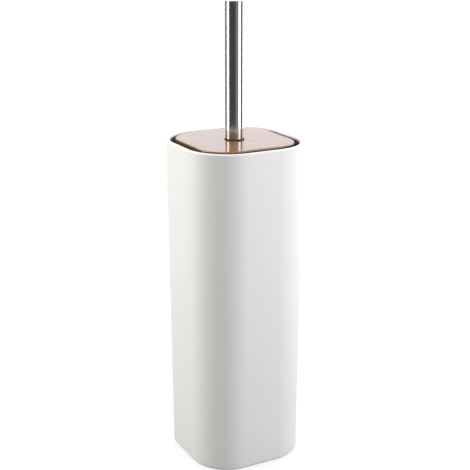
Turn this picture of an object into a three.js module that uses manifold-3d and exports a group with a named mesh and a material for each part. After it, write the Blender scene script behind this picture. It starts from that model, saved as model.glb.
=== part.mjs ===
// A free-standing toilet brush set, in millimetres with +Z up: a tapered square holder with round corners,
// a lift-out inner cup, and a brush whose bamboo lid closes the holder. The origin is on the floor, on the
// axis.
//
// The lid is clamped between the steel handle above it and the brush stem below it by one stud, so the
// handle, lid, stem and head lift out together. The lid rests on the cup's flange, and the flange on the
// holder's ribs.

import * as THREE from "three";
import { mergeVertices } from "three/addons/utils/BufferGeometryUtils.js";
import Module from "manifold-3d";

const wasm = await Module();
wasm.setup();

// ---- Driving dimensions --------------------------------------------------------------------------------

// Holder shell
const RIM_SIDE = 100;
const RIM_CORNER = 36;
const BASE_SIDE = 95;
const BASE_CORNER = 32;
const SHELL_HEIGHT = 268;
const SHELL_WALL = 3;
const SHELL_FLOOR = 3.5;
const RIM_ROUND = 1.2;
const BASE_ROUND = 2;

// Ribs inside the shell that carry the cup's flange, two on each side
const RIB_DEPTH = 4;
const RIB_THICKNESS = 2;
const RIB_SPREAD = 20;

// Rubber feet, let into the shell's underside
const FOOT_DIAMETER = 12;
const FOOT_THICKNESS = 2;
const FOOT_POCKET = 1;
const FOOT_MARGIN = 4;

// Inner cup
const CUP_WALL = 1.6;
const CUP_FLOOR = 1.8;
const CUP_LIFT_OFF_FLOOR = 2;
const CUP_CORNER = 24;
const FLANGE_THICKNESS = 2;
const FLANGE_CLEARANCE = 0.7;
const CUP_RIB_CLEARANCE = 2.75;
const CUP_BASE_BEND = 3.2;

// Bamboo lid
const LID_THICKNESS = 10;
const LID_CORNER = 23;
const LID_MOAT = 5.8;
const LID_PROUD = 0.3;
const LID_SEAT_WIDTH = 2.5;
const LID_EDGE = 1.2;
const LID_STEP_DEPTH = 3;
const LID_STEP_PLAY = 1.6;

// Steel handle
const HANDLE_DIAMETER = 14.7;
const HANDLE_WALL = 0.8;
const HANDLE_LENGTH = 108;
const CAP_THICKNESS = 1.2;
const CAP_SPIGOT = 6;
const CAP_EDGE = 0.4;
const INSERT_LENGTH = 22;

// Washers above and below the lid, and the stud through them
const WASHER_THICKNESS = 0.8;
const WASHER_LIP = 0.6;
const STUD_DIAMETER = 8;
const STUD_GRIP = 15;
const STUD_LID_PLAY = 0.75;
const STUD_END_ROOM = 1;

// Stem and head of the brush
const STEM_DIAMETER = 13;
const STEM_FLANGE_DIAMETER = 24;
const STEM_FLANGE_THICKNESS = 3;
const SPIGOT_DIAMETER = 9;
const SPIGOT_LENGTH = 12;
const SPIGOT_END_ROOM = 1;
const HEAD_LENGTH = 84;
const HEAD_GROUND_CLEARANCE = 8;
const CORE_DIAMETER = 26;
const NECK_LENGTH = 16;
const NECK_DIAMETER = 19;
const CORE_ROUND = 3;
const CORE_SHOULDER_RISE = 1.2;

// Bristle tufts: rows round the core and one bunch on its end
const TUFT_ROWS = 6;
const TUFTS_A_ROW = 14;
const TUFT_ROOT_DIAMETER = 3.4;
const TUFT_TIP_DIAMETER = 6;
const TUFT_BAND = 1.2;
const BRISTLE_CLEARANCE = 3.2;
const ROW_GAP = 1;
const ROW_FAN = 18;
const END_TUFTS = 8;
const END_TUFT_LENGTH = 11;

// Gaps left between pieces: side by side in a bore or socket, and face to face
const FIT = 0.3;
const SEAT = 0.1;

// How far a cutting tool runs past the face it opens
const CUT_PAST = 1;

// Facets
const CORNER_STEPS = 10;
const ROUND_STEPS = 48;
const SMALL_ROUND_STEPS = 28;
const EDGE_STEPS = 3;
const TUFT_SIDES = 6;

// ---- Levels and sizes worked out from them -------------------------------------------------------------

const footStand = FOOT_THICKNESS - FOOT_POCKET;
const rimLevel = footStand + SHELL_HEIGHT;
const lidTop = rimLevel + LID_PROUD;
const lidBottom = lidTop - LID_THICKNESS;
const flangeTop = lidBottom - SEAT;
const flangeBottom = flangeTop - FLANGE_THICKNESS;
const ribTop = flangeBottom - SEAT;
const shellFloorTop = footStand + SHELL_FLOOR;
const cupBottom = shellFloorTop + CUP_LIFT_OFF_FLOOR;
const cupFloorTop = cupBottom + CUP_FLOOR;
const headBottom = cupFloorTop + HEAD_GROUND_CLEARANCE;
const headTop = headBottom + HEAD_LENGTH;

const lerp = THREE.MathUtils.lerp;
const radians = THREE.MathUtils.degToRad;

// The shell's outer half side and corner radius at a height.
const shellShare = (z) => (z - footStand) / SHELL_HEIGHT;
const shellHalf = (z) => lerp(BASE_SIDE, RIM_SIDE, shellShare(z)) / 2;
const shellCorner = (z) => lerp(BASE_CORNER, RIM_CORNER, shellShare(z));

const lidHalf = RIM_SIDE / 2 - SHELL_WALL - LID_MOAT;
const mouthHalf = lidHalf - LID_SEAT_WIDTH;
const flangeHalf = shellHalf(flangeBottom) - SHELL_WALL - FLANGE_CLEARANCE;
const lidStepHalf = mouthHalf - LID_STEP_PLAY;
const lidStepCorner = CUP_CORNER - LID_STEP_PLAY;
// The cup's foot clears the ribs, which follow the shell's own taper.
const ribClearHalf = shellHalf(cupBottom) - SHELL_WALL - RIB_DEPTH;
const cupFootHalf = ribClearHalf - CUP_RIB_CLEARANCE - CUP_WALL;
const bristleReach = cupFootHalf - BRISTLE_CLEARANCE;

// ---- Shape helpers -------------------------------------------------------------------------------------

// A ring of a rounded square: half its side, its corner radius and its height.
const ring = (half, corner, z) => ({ half, corner, z });

// The solid swept by a profile of rounded-square rings. It is a lathe whose columns are moved from a circle
// to the four corner arcs, so each side of the square is the span between two arcs.
function squareLathe(rings) {
  const columns = CORNER_STEPS + 1;
  const profile = rings.map((r) => new THREE.Vector2(r.half, r.z));
  const lathe = new THREE.LatheGeometry(profile, 4 * columns);
  const position = lathe.getAttribute("position");
  for (let column = 0; column <= 4 * columns; column += 1) {
    const quarter = Math.floor(column / columns) % 4;
    const angle = radians(90 * (quarter + (column % columns) / CORNER_STEPS));
    const middle = radians(90 * quarter + 45);
    rings.forEach(({ half, corner, z }, row) => {
      const centre = (half - corner) * Math.SQRT2;
      const x = centre * Math.cos(middle) + corner * Math.cos(angle);
      const y = centre * Math.sin(middle) + corner * Math.sin(angle);
      position.setXYZ(column * rings.length + row, x, y, z);
    });
  }
  return lathe;
}

// The solid turned about Z from a list of [radius, height] that starts and ends on the axis or closes on
// itself.
function turned(outline, steps = ROUND_STEPS) {
  const profile = outline.map(([r, z]) => new THREE.Vector2(r, z));
  return new THREE.LatheGeometry(profile, steps).rotateX(Math.PI / 2);
}

// Points of a quarter round from one angle to another, as offsets [outwards, upwards].
function arc(radius, fromDegrees, toDegrees, steps = EDGE_STEPS) {
  return Array.from({ length: steps + 1 }, (_, i) => {
    const a = radians(lerp(fromDegrees, toDegrees, i / steps));
    return [radius * Math.cos(a), radius * Math.sin(a)];
  });
}

// Turned shapes used more than once
const disc = (radius, low, high, steps) =>
  turned([[0, low], [radius, low], [radius, high], [0, high]], steps);
const sleeve = (inner, outer, low, high, steps) =>
  turned([[inner, low], [outer, low], [outer, high], [inner, high], [inner, low]], steps);

// ---- Joining and cutting -------------------------------------------------------------------------------

function solid(geometry) {
  const bare = geometry.clone();
  bare.deleteAttribute("normal");
  bare.deleteAttribute("uv");
  const merged = mergeVertices(bare, 1e-4);
  return new wasm.Manifold(
    new wasm.Mesh({
      numProp: 3,
      vertProperties: merged.attributes.position.array,
      triVerts: new Uint32Array(merged.index.array),
    }),
  );
}

function geometryOf(manifold) {
  const mesh = manifold.getMesh();
  const geometry = new THREE.BufferGeometry();
  geometry.setAttribute("position", new THREE.BufferAttribute(mesh.vertProperties, 3));
  geometry.setIndex(new THREE.BufferAttribute(mesh.triVerts, 1));
  geometry.computeVertexNormals();
  return geometry;
}

const cut = (body, ...tools) =>
  geometryOf(tools.reduce((left, tool) => left.subtract(solid(tool)), solid(body)));
const join = (...bodies) => geometryOf(bodies.map(solid).reduce((all, body) => all.add(body)));

// ---- Materials -----------------------------------------------------------------------------------------

const finish = (color, roughness, metalness = 0) =>
  new THREE.MeshStandardMaterial({ color, roughness, metalness });
const matteWhite = finish(0xf1f0ec, 0.55);
const cupCharcoal = finish(0x3b3a38, 0.45);
const bamboo = finish(0x865e3a, 0.4);
const brushedSteel = finish(0xcbc9c7, 0.2, 1);
const plainSteel = finish(0xbcbcbc, 0.4, 1);
const blackRubber = finish(0x1b1a19, 0.8);
const footRubber = finish(0x8d8d8b, 0.85);
const headPlastic = finish(0xf4f4f2, 0.4);
const bristleNylon = finish(0xf7f7f5, 0.6);

const model = new THREE.Group();

function place(name, geometry, material) {
  const mesh = new THREE.Mesh(geometry, material);
  mesh.name = name;
  model.add(mesh);
}

// ---- Holder --------------------------------------------------------------------------------------------

// The centre of a foot lies on the diagonal, inside the base's corner arc.
function footCentre() {
  const cornerCentre = BASE_SIDE / 2 - BASE_CORNER;
  const alongDiagonal = BASE_CORNER - FOOT_DIAMETER / 2 - FOOT_MARGIN;
  return cornerCentre + alongDiagonal * Math.SQRT1_2;
}

const footPlaces = [0, 1, 2, 3].map((n) => {
  const angle = radians(45 + 90 * n);
  const reach = footCentre() * Math.SQRT2;
  return [reach * Math.cos(angle), reach * Math.sin(angle)];
});

function shellSkin() {
  const wallRing = (inset, z) => ring(shellHalf(z) - inset, shellCorner(z) - inset, z);
  const baseEdge = arc(BASE_ROUND, -90, 0).map(([out, up]) =>
    wallRing(BASE_ROUND - out, footStand + BASE_ROUND + up),
  );
  const rimOuter = arc(RIM_ROUND, 0, 90).map(([out, up]) =>
    wallRing(RIM_ROUND - out, rimLevel - RIM_ROUND + up),
  );
  const rimInner = arc(RIM_ROUND, 90, 180).map(([out, up]) =>
    wallRing(SHELL_WALL - RIM_ROUND - out, rimLevel - RIM_ROUND + up),
  );
  return squareLathe([
    ring(0, 0, footStand),
    ...baseEdge,
    ...rimOuter,
    ...rimInner,
    wallRing(SHELL_WALL, shellFloorTop),
    ring(0, 0, shellFloorTop),
  ]);
}

// One rib, on the +X side. It leans with the wall and is rooted in the wall and the floor.
function rib(sideways) {
  const root = SHELL_WALL / 2;
  const inner = (z) => shellHalf(z) - SHELL_WALL;
  const low = shellFloorTop - SHELL_FLOOR / 2;
  const outline = new THREE.Shape([
    new THREE.Vector2(inner(low) - RIB_DEPTH, low),
    new THREE.Vector2(inner(low) + root, low),
    new THREE.Vector2(inner(ribTop) + root, ribTop),
    new THREE.Vector2(inner(ribTop) - RIB_DEPTH, ribTop),
  ]);
  return new THREE.ExtrudeGeometry(outline, { depth: RIB_THICKNESS, bevelEnabled: false })
    .rotateX(Math.PI / 2)
    .translate(0, sideways + RIB_THICKNESS / 2, 0);
}

function outerShell() {
  const ribs = [0, 1, 2, 3].flatMap((side) =>
    [-RIB_SPREAD / 2, RIB_SPREAD / 2].map((y) => rib(y).rotateZ(radians(90 * side))),
  );
  const pockets = footPlaces.map(([x, y]) =>
    disc(
      FOOT_DIAMETER / 2 + FIT,
      footStand - CUT_PAST,
      footStand + FOOT_POCKET + SEAT,
      SMALL_ROUND_STEPS,
    ).translate(x, y, 0),
  );
  return cut(join(shellSkin(), ...ribs), ...pockets);
}

place("outer_shell", outerShell(), matteWhite);

footPlaces.forEach(([x, y], n) => {
  const pad = disc(FOOT_DIAMETER / 2, 0, FOOT_THICKNESS, SMALL_ROUND_STEPS);
  place(`foot_pad_${n + 1}`, pad.translate(x, y, 0), footRubber);
});

// ---- Inner cup -----------------------------------------------------------------------------------------

function innerCup() {
  const cornerAt = (half) => CUP_CORNER - (mouthHalf - half);
  const flangeCorner = shellCorner(flangeBottom) - SHELL_WALL - FLANGE_CLEARANCE;
  const outerHalf = (half) => half + CUP_WALL;
  return squareLathe([
    ring(0, 0, cupBottom),
    ring(
      outerHalf(cupFootHalf) - CUP_BASE_BEND,
      cornerAt(cupFootHalf) + CUP_WALL - CUP_BASE_BEND,
      cupBottom,
    ),
    ring(outerHalf(cupFootHalf), cornerAt(cupFootHalf) + CUP_WALL, cupBottom + CUP_BASE_BEND),
    ring(outerHalf(mouthHalf), CUP_CORNER + CUP_WALL, flangeBottom),
    ring(flangeHalf, flangeCorner, flangeBottom),
    ring(flangeHalf, flangeCorner, flangeTop),
    ring(mouthHalf, CUP_CORNER, flangeTop),
    ring(cupFootHalf, cornerAt(cupFootHalf), cupFloorTop + CUP_WALL),
    ring(cupFootHalf - CUP_WALL, cornerAt(cupFootHalf) - CUP_WALL, cupFloorTop),
    ring(0, 0, cupFloorTop),
  ]);
}

place("inner_cup", innerCup(), cupCharcoal);

// ---- Lid, stud and washers -----------------------------------------------------------------------------

const handleRadius = HANDLE_DIAMETER / 2;
const studRadius = STUD_DIAMETER / 2;
const stemFlangeRadius = STEM_FLANGE_DIAMETER / 2;
const lidBore = studRadius + STUD_LID_PLAY;
const lidStepBottom = lidBottom - LID_STEP_DEPTH;
const topWasherLow = lidTop + SEAT;
const handleLow = topWasherLow + WASHER_THICKNESS + SEAT;
const lowWasherTop = lidStepBottom - SEAT;
const stemTop = lowWasherTop - WASHER_THICKNESS - SEAT;

function lidBoard() {
  const edge = LID_EDGE;
  const board = squareLathe([
    ring(0, 0, lidStepBottom),
    ring(lidStepHalf, lidStepCorner, lidStepBottom),
    ring(lidStepHalf, lidStepCorner, lidBottom),
    ring(lidHalf - edge / 2, LID_CORNER - edge / 2, lidBottom),
    ring(lidHalf, LID_CORNER, lidBottom + edge / 2),
    ...arc(edge, 0, 90).map(([out, up]) =>
      ring(lidHalf - edge + out, LID_CORNER - edge + out, lidTop - edge + up),
    ),
    ring(0, 0, lidTop),
  ]);
  return cut(board, disc(lidBore, lidStepBottom - CUT_PAST, lidTop + CUT_PAST, SMALL_ROUND_STEPS));
}

place("lid_board", lidBoard(), bamboo);

place(
  "handle_washer",
  sleeve(lidBore, handleRadius + WASHER_LIP, topWasherLow, topWasherLow + WASHER_THICKNESS),
  blackRubber,
);

place(
  "stem_washer",
  sleeve(lidBore, stemFlangeRadius, lowWasherTop - WASHER_THICKNESS, lowWasherTop),
  blackRubber,
);

place(
  "clamp_stud",
  disc(studRadius, stemTop - STUD_GRIP, handleLow + STUD_GRIP, SMALL_ROUND_STEPS),
  plainSteel,
);

// ---- Handle --------------------------------------------------------------------------------------------

const handleTop = handleLow + HANDLE_LENGTH;
const tubeTop = handleTop - CAP_THICKNESS - SEAT;
const tubeBore = handleRadius - HANDLE_WALL;

place("handle_tube", sleeve(tubeBore, handleRadius, handleLow, tubeTop), brushedSteel);

function handleCap() {
  const low = handleTop - CAP_THICKNESS;
  const spigot = tubeBore - FIT;
  return turned([
    [0, low - CAP_SPIGOT],
    [spigot, low - CAP_SPIGOT],
    [spigot, low],
    [handleRadius, low],
    [handleRadius, handleTop - CAP_EDGE],
    [handleRadius - CAP_EDGE, handleTop],
    [0, handleTop],
  ]);
}

place("handle_cap", handleCap(), brushedSteel);

// A blind threaded sleeve pressed into the tube's lower end, shown with a plain bore.
function handleInsert() {
  const outer = tubeBore - FIT;
  const bore = studRadius + FIT;
  const boreEnd = handleLow + STUD_GRIP + STUD_END_ROOM;
  return turned([
    [bore, handleLow],
    [outer, handleLow],
    [outer, handleLow + INSERT_LENGTH],
    [0, handleLow + INSERT_LENGTH],
    [0, boreEnd],
    [bore, boreEnd],
    [bore, handleLow],
  ]);
}

place("handle_insert", handleInsert(), plainSteel);

// ---- Stem ----------------------------------------------------------------------------------------------

const neckTop = headTop;
const coreTop = neckTop - NECK_LENGTH;
const stemRadius = STEM_DIAMETER / 2;

// The stem's flange presses the lid up against the handle, and its spigot holds the head.
function brushStem() {
  const boreEnd = stemTop - STUD_GRIP - STUD_END_ROOM;
  const bore = studRadius + FIT;
  const underFlange = stemTop - STEM_FLANGE_THICKNESS;
  const seat = neckTop + SEAT;
  return turned([
    [0, seat - SPIGOT_LENGTH],
    [SPIGOT_DIAMETER / 2, seat - SPIGOT_LENGTH],
    [SPIGOT_DIAMETER / 2, seat],
    [stemRadius, seat],
    [stemRadius, underFlange - STEM_FLANGE_THICKNESS],
    [stemFlangeRadius, underFlange],
    [stemFlangeRadius, stemTop],
    [bore, stemTop],
    [bore, boreEnd],
    [0, boreEnd],
  ]);
}

place("brush_stem", brushStem(), headPlastic);

// ---- Head ----------------------------------------------------------------------------------------------

const coreRadius = CORE_DIAMETER / 2;
const endTuftTop = headBottom + END_TUFT_LENGTH + TUFT_BAND;
const coreBottom = endTuftTop + SEAT;

function headCore() {
  const socket = SPIGOT_DIAMETER / 2 + FIT;
  const socketEnd = neckTop - SPIGOT_LENGTH - SPIGOT_END_ROOM;
  const shoulder = (coreRadius - NECK_DIAMETER / 2) * CORE_SHOULDER_RISE;
  return turned([
    [0, coreBottom],
    [coreRadius - CORE_ROUND, coreBottom],
    [coreRadius, coreBottom + CORE_ROUND],
    [coreRadius, coreTop],
    [NECK_DIAMETER / 2, coreTop + shoulder],
    [stemRadius, neckTop],
    [socket, neckTop],
    [socket, socketEnd],
    [0, socketEnd],
  ]);
}

place("head_core", headCore(), headPlastic);

// A tuft that grows from the origin along +X, wider at its tip where the filaments spread.
function tuft(length) {
  const root = TUFT_ROOT_DIAMETER / 2;
  const tip = TUFT_TIP_DIAMETER / 2;
  return new THREE.CylinderGeometry(tip, root, length, TUFT_SIDES)
    .rotateZ(-Math.PI / 2)
    .translate(length / 2, 0, 0);
}

const rowSpan = coreTop - coreBottom - 2 * CORE_ROUND;
const rowPitch = rowSpan / TUFT_ROWS;

// A row of tufts round the core, joined by the band that their roots share. Rows fan out: the lowest lean
// down and the highest lean up, and each tuft ends at the same reach.
function tuftRow(row) {
  const middle = coreBottom + CORE_ROUND + rowPitch * (row + 0.5);
  const lean = lerp(-ROW_FAN, ROW_FAN, row / (TUFT_ROWS - 1));
  const inner = coreRadius + FIT;
  const bandHeight = Math.max(rowPitch - ROW_GAP, TUFT_ROOT_DIAMETER);
  const low = middle - bandHeight / 2;
  const band = sleeve(inner, inner + TUFT_BAND, low, low + bandHeight, SMALL_ROUND_STEPS);
  const start = inner + TUFT_BAND / 2;
  const tipHalf = TUFT_TIP_DIAMETER / 2;
  const tilt = radians(lean);
  const length = (bristleReach - start - tipHalf * Math.abs(Math.sin(tilt))) / Math.cos(tilt);
  const tufts = Array.from({ length: TUFTS_A_ROW }, (_, n) => {
    const turn = radians((360 / TUFTS_A_ROW) * (n + (row % 2) / 2));
    return tuft(length).rotateY(-tilt).translate(start, 0, middle).rotateZ(turn);
  });
  return join(band, ...tufts);
}

for (let row = 0; row < TUFT_ROWS; row += 1) {
  place(`tuft_row_${row + 1}`, tuftRow(row), bristleNylon);
}

// The bunch on the core's end: tufts that point down from a round plate.
function endTufts() {
  const plate = disc(coreRadius - CORE_ROUND, endTuftTop - TUFT_BAND, endTuftTop, SMALL_ROUND_STEPS);
  const ringRadius = coreRadius - CORE_ROUND - TUFT_ROOT_DIAMETER / 2;
  const length = END_TUFT_LENGTH + TUFT_BAND / 2;
  const down = () => tuft(length).rotateY(Math.PI / 2);
  const outer = Array.from({ length: END_TUFTS }, (_, n) =>
    down()
      .translate(ringRadius, 0, headBottom + length)
      .rotateZ(radians((360 / END_TUFTS) * n)),
  );
  return join(plate, down().translate(0, 0, headBottom + length), ...outer);
}

place("tuft_end", endTufts(), bristleNylon);

export default model;
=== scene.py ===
"""A toilet brush set: a matte white tapered holder, a lift-out cup, and a brush.

The brush hangs from a bamboo lid with a steel handle. Everything is in metres, +Z up, with the origin
on the floor under the middle of the holder.
"""

import math

import bmesh
import bpy
from bpy.props import FloatProperty, FloatVectorProperty, IntProperty, PointerProperty
from mathutils import Matrix, Vector


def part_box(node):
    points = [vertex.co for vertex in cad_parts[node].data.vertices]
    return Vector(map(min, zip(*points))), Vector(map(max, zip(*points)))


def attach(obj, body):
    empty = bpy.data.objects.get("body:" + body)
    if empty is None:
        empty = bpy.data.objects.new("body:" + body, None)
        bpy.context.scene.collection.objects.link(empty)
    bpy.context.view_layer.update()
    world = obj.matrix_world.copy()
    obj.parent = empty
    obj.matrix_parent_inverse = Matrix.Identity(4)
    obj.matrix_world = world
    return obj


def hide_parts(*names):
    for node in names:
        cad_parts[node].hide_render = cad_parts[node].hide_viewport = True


bl_info = {
    "name": "Toilet Brush Set",
    "version": (1, 0, 0),
    "blender": (4, 5, 0),
    "location": "3D View > Sidebar > Brush Set",
    "description": "Builds the visible surfaces of a toilet brush set round its packed frame",
    "category": "Object",
}

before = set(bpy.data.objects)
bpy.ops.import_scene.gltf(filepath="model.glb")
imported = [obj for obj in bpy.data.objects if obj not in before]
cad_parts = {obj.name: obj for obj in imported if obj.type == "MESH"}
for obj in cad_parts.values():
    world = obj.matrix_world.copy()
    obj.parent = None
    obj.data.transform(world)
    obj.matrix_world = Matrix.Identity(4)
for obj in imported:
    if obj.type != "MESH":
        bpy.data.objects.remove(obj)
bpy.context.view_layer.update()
MM = 0.001
SEAT_GAP = 0.1 * MM     # between faces that rest on each other

CORNER_COLUMNS = 20     # faces in a quarter turn of a rounded square
FLAT_COLUMNS = 6        # faces along each flat side
ROUND_COLUMNS = 96      # faces round a turned piece
EDGE_STEPS = 6          # faces across a small rounded edge
SMOOTH_BELOW = math.radians(38)
ROOM_LIGHT = 1.75       # strength of the light from the room overhead
LOW_ROOM_LIGHT = 0.06   # and from near the horizon
ZENITH_SHARE = 0.3      # straight up the room is this much as bright


# ---- Sizes and colours that a user would change ----


def length(name, description, default):
    return FloatProperty(name=name, description=description, default=default, min=0.0, unit="LENGTH")


def angle(name, description, degrees):
    return FloatProperty(name=name, description=description, default=math.radians(degrees), subtype="ANGLE")


def colour(name, description, default):
    return FloatVectorProperty(
        name=name, description=description, default=default, size=3, subtype="COLOR", min=0.0, max=1.0
    )


def low(node):
    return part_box(node)[0].z


def high(node):
    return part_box(node)[1].z


def reach(node):
    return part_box(node)[1].x


class BrushSetSizes(bpy.types.PropertyGroup):
    """Sizes of the pieces, with the heights taken from the frame."""

    rim_side: length("Rim side", "Width of the holder across its rim", 100 * MM)
    rim_corner: length("Rim corner", "Corner radius at the rim", 36 * MM)
    base_side: length("Base side", "Width of the holder across its base", 95 * MM)
    base_corner: length("Base corner", "Corner radius at the base", 32 * MM)
    wall: length("Shell wall", "Thickness of the shell's wall", 3 * MM)
    shell_floor: length("Shell floor", "Thickness of the shell's floor", 3.5 * MM)
    rim_round: length("Rim rounding", "Radius of the rim's two edges", 1.35 * MM)
    base_round: length("Base rounding", "Radius of the shell's bottom edge", 2 * MM)
    rib_depth: length("Rib depth", "How far a rib stands in from the wall", 4 * MM)
    rib_thickness: length("Rib thickness", "Thickness of a rib", 2 * MM)
    rib_spread: length("Rib spread", "Distance between a side's two ribs", 20 * MM)
    cup_wall: length("Cup wall", "Thickness of the cup's wall", 1.6 * MM)
    cup_corner: length("Cup corner", "Corner radius inside the cup's mouth", 24 * MM)
    flange_thickness: length("Flange thickness", "Thickness of the cup's flange", 2 * MM)
    lid_thickness: length("Lid thickness", "Thickness of the bamboo board", 10 * MM)
    lid_corner: length("Lid corner", "Corner radius of the bamboo board", 23 * MM)
    lid_edge: length("Lid edge", "Radius of the board's top edge", 1.2 * MM)
    lid_bore: length("Lid bore", "Radius of the hole for the stud", 4.75 * MM)
    handle_wall: length("Handle wall", "Thickness of the handle's tube", 0.8 * MM)
    filament: length("Filament radius", "Radius of one bristle filament", 0.17 * MM)


class BrushSetColours(bpy.types.PropertyGroup):
    """Base colours of the finishes."""

    shell: colour("Shell", "Matte white of the holder", (0.88, 0.875, 0.85))
    # Painted shade: the holder's inner wall is coloured dark in place of the shade deep in the gap round the
    # lid.
    inside_painted_shade: colour("Shell, inside", "Dull inside of the holder", (0.13, 0.115, 0.10))
    # Painted shade: the cup is coloured near black so that the gap round the lid reads dark.
    cup: colour("Cup", "Satin charcoal of the cup", (0.045, 0.043, 0.040))
    bamboo_light: colour("Bamboo, light", "The paler bamboo strips", (0.33, 0.158, 0.062))
    bamboo_dark: colour("Bamboo, dark", "The darker bamboo strips", (0.245, 0.11, 0.04))
    steel: colour("Brushed steel", "The handle's steel", (0.60, 0.585, 0.57))
    turned_steel: colour("Turned steel", "Stud and insert", (0.50, 0.50, 0.50))
    rubber: colour("Black rubber", "The two washers", (0.018, 0.017, 0.016))
    foot_rubber: colour("Foot rubber", "The four feet", (0.24, 0.24, 0.23))
    head_plastic: colour("Head plastic", "Stem and head core", (0.84, 0.84, 0.82))
    nylon: colour("Nylon", "Bristle filaments", (0.90, 0.90, 0.88))


class BrushSetStudio(bpy.types.PropertyGroup):
    """Camera and lights."""

    azimuth: angle("Azimuth", "The camera's turn from the front", -28.09)
    pitch: angle("Pitch", "How far the camera looks down", 17.4)
    distance: length("Distance", "From the handle's axis to the camera, level", 826.2 * MM)
    above_rim: length("Above the rim", "The camera's height over the rim", 178.4 * MM)
    lens: FloatProperty(name="Lens", description="Focal length in millimetres", default=80.57, min=1.0)
    shift_x: FloatProperty(name="Shift X", description="Sideways lens shift", default=0.0012)
    shift_y: FloatProperty(name="Shift Y", description="Upward lens shift", default=0.001)


# ---- Mesh helpers ----


def mix(a, b, share):
    return a + (b - a) * share


def quarter(radius, from_degrees, to_degrees, steps=EDGE_STEPS):
    """Offsets (outwards, upwards) along a rounded edge."""
    angles = [math.radians(mix(from_degrees, to_degrees, i / steps)) for i in range(steps + 1)]
    return [(radius * math.cos(a), radius * math.sin(a)) for a in angles]


def finish_mesh(bm, name):
    """A named object from bm, with its doubles merged, faces outwards and smooth except at sharp edges."""
    bmesh.ops.remove_doubles(bm, verts=bm.verts, dist=1e-7)
    bmesh.ops.dissolve_degenerate(bm, edges=bm.edges, dist=1e-8)
    bmesh.ops.recalc_face_normals(bm, faces=bm.faces)
    mesh = bpy.data.meshes.new(name)
    bm.to_mesh(mesh)
    bm.free()
    mesh.shade_smooth()
    mesh.set_sharp_from_angle(angle=SMOOTH_BELOW)
    made = bpy.data.objects.new(name, mesh)
    bpy.context.scene.collection.objects.link(made)
    even = made.modifiers.new("Even shading", "WEIGHTED_NORMAL")
    even.weight = 100
    even.keep_sharp = True
    return made


def skin(rows, name, closed, masks=None):
    """Joins rows of points, each a closed loop, into one surface. closed joins the last row to the first.

    masks gives each row a number, kept as the attribute "inside".
    """
    bm = bmesh.new()
    layer = bm.verts.layers.float.new("inside") if masks else None
    grid = [[bm.verts.new(p) for p in row] for row in rows]
    if masks:
        for row, mask in zip(grid, masks):
            for v in row:
                v[layer] = mask
    count = len(rows[0])
    last = len(grid) if closed else len(grid) - 1
    for i in range(last):
        here, there = grid[i], grid[(i + 1) % len(grid)]
        for j in range(count):
            k = (j + 1) % count
            bm.faces.new((here[j], here[k], there[k], there[j]))
    return finish_mesh(bm, name)


def square_row(half, corner, z):
    """A rounded square's outline at height z, with every corner and flat divided alike."""
    points = []
    for side in range(4):
        turn = math.radians(90 * side)
        centre = Vector((half - corner, half - corner))
        arc = [math.radians(90 * i / CORNER_COLUMNS) for i in range(CORNER_COLUMNS + 1)]
        corner_points = [centre + corner * Vector((math.cos(a), math.sin(a))) for a in arc]
        end = corner_points[-1]
        after = Vector((-end.x, end.y))
        flat = [end.lerp(after, i / FLAT_COLUMNS) for i in range(1, FLAT_COLUMNS)]
        spin = Matrix.Rotation(turn, 2)
        points += [spin @ p for p in corner_points + flat]
    return [Vector((p.x, p.y, z)) for p in points]


def square_solid(rings, name, closed=False, masks=None):
    """The solid swept by (half side, corner radius, height) rings."""
    return skin([square_row(*ring) for ring in rings], name, closed, masks)


def turned_solid(outline, name, closed=False, columns=ROUND_COLUMNS):
    """The solid turned from (radius, height) points, which end on the axis or close on themselves."""
    rows = []
    for r, z in outline:
        angles = [math.tau * i / columns for i in range(columns)]
        rows.append([Vector((r * math.cos(a), r * math.sin(a), z)) for a in angles])
    return skin(rows, name, closed)


def rounded(outline, radii, steps=EDGE_STEPS):
    """The outline with the corners named in radii, {index: radius}, rounded."""
    result = []
    for i, (r, z) in enumerate(outline):
        radius = radii.get(i, 0.0)
        here = Vector((r, z))
        if not radius:
            result.append((r, z))
            continue
        before = Vector(outline[i - 1])
        after = Vector(outline[(i + 1) % len(outline)])
        a = (before - here).normalized()
        b = (after - here).normalized()
        half_angle = a.angle(b) / 2
        run = radius / math.tan(half_angle)
        centre = here + (a + b).normalized() * (radius / math.sin(half_angle))
        start = here + a * run - centre
        stop = here + b * run - centre
        sweep = start.angle_signed(stop)
        for k in range(steps + 1):
            p = centre + Matrix.Rotation(-sweep * k / steps, 2) @ start
            result.append((p.x, p.y))
    return result


def put(piece, body, slot, material, *nodes):
    """Gives a piece its finish, its body and the CAD nodes it stands for."""
    piece.data.materials.clear()
    piece.data.materials.append(material)
    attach(piece, body)
    if nodes:
        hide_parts(*nodes)
    return piece


# ---- Shader maths ----


class Socket:
    """A shader socket whose operators add Math nodes."""

    def __init__(self, material, socket):
        self.material = material
        self.socket = socket

    def _math(self, kind, *values, clamp=False):
        return self.material.node("ShaderNodeMath", {"operation": kind, "use_clamp": clamp}, list(values))

    def __add__(self, other):
        return self._math("ADD", self, other)

    def __sub__(self, other):
        return self._math("SUBTRACT", self, other)

    def __mul__(self, other):
        return self._math("MULTIPLY", self, other)

    def __truediv__(self, other):
        return self._math("DIVIDE", self, other)

    def __rsub__(self, other):
        return self._math("SUBTRACT", other, self)

    __radd__ = __add__
    __rmul__ = __mul__

    def clamped(self):
        return self._math("ADD", self, 0.0, clamp=True)

    def fraction(self):
        return self._math("FRACT", self)

    def floor(self):
        return self._math("FLOOR", self)

    def absolute(self):
        return self._math("ABSOLUTE", self)

    def stepped(self, start, stop):
        """0 below start and 1 above stop, smooth between them."""
        sockets = {"Value": self, "From Min": start, "From Max": stop}
        smooth = {"interpolation_type": "SMOOTHSTEP"}
        return self.material.node("ShaderNodeMapRange", smooth, sockets, "Result")


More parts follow.
